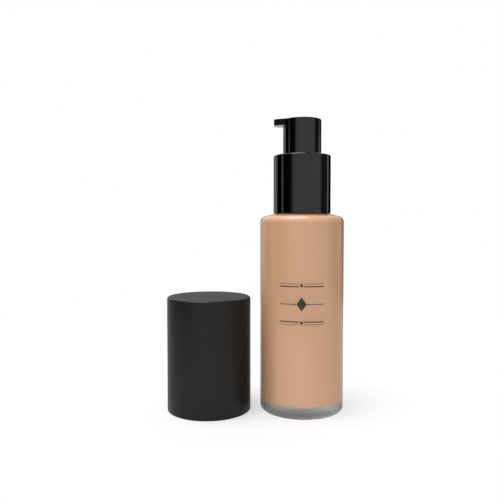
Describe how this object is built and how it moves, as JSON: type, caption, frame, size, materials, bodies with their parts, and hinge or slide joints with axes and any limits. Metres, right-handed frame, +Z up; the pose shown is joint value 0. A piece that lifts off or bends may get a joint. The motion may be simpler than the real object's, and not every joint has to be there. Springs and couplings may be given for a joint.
{
  "type": "foundation bottle with pump and overcap",
  "caption": "Cylindrical thick-based glass bottle of liquid foundation with a screw-on collar pump, a press-down actuator with a short side nozzle, and a straight overcap standing beside it.",
  "frame": {"origin": "centre of the bottle's base, on the surface it stands on", "axes": "+Z up along the bottle's axis; -X towards the overcap, which stands beside the bottle, and roughly where the nozzle points; -Y is the front, which carries the print"},
  "size_m": [0.0701, 0.0332, 0.1148],
  "materials": {
    "frosted_glass": "acid-frosted outside, clear inside",
    "foundation": "opaque liquid",
    "matte_black": "fine satin",
    "gloss_black": "mirror-polished moulding",
    "inner_black": "as moulded",
    "natural_plastic": "natural polypropylene, as moulded",
    "soft_plastic": "soft polyethylene",
    "clear_tube": "translucent extruded tube",
    "steel": "bright stainless wire",
    "print_ink": "screen-printed ink"
  },
  "bodies": {
    "bottle": {"glass_bottle": "frosted_glass", "foundation_fill": "foundation"},
    "overcap": {"cap_shell": "matte_black", "cap_liner": "natural_plastic"},
    "pump_engine": {"pump_housing": "natural_plastic", "neck_gasket": "soft_plastic", "dip_tube": "clear_tube", "ball_retainer": "natural_plastic", "return_spring": "steel", "stem_guide": "natural_plastic"},
    "ball": {"check_ball": "steel"},
    "closure": {"screw_closure": "inner_black", "collar_shell": "gloss_black"},
    "plunger": {"valve_stem": "natural_plastic", "upper_stem": "natural_plastic"},
    "piston": {"piston_seal": "soft_plastic"},
    "actuator": {"actuator_shell": "gloss_black", "actuator_core": "inner_black"}
  },
  "joints": [
    {"name": "cap_lift", "type": "slide", "parent": "bottle", "child": "overcap", "axis": [0, 0, 1], "range_m": [0, 0.12]},
    {"name": "closure_rise", "type": "slide", "parent": "bottle", "child": "pump_engine", "axis": [0, 0, 1], "range_m": [0, 0.0048]},
    {"name": "closure_turn", "type": "hinge", "parent": "pump_engine", "child": "closure", "pos_m": [0, 0, 0.0791], "axis": [0, 0, 1], "range_deg": [0, 540]},
    {"name": "ball_lift", "type": "slide", "parent": "pump_engine", "child": "ball", "axis": [0, 0, 1], "range_m": [0, 0.0016]},
    {"name": "pump_stroke", "type": "slide", "parent": "pump_engine", "child": "plunger", "axis": [0, 0, -1], "range_m": [0, 0.0042], "stiffness_N_per_m": 1500, "springref_m": -0.004, "deforming": ["return_spring"]},
    {"name": "piston_slip", "type": "slide", "parent": "plunger", "child": "piston", "axis": [0, 0, 1], "range_m": [0, 0.0008]},
    {"name": "actuator_swivel", "type": "hinge", "parent": "plunger", "child": "actuator", "pos_m": [0, 0, 0.105], "axis": [0, 0, 1], "continuous": true}
  ],
  "couplings": [
    {"joint": "closure_rise", "follows": "closure_turn", "m_per_rad": 0.00050532}
  ]
}
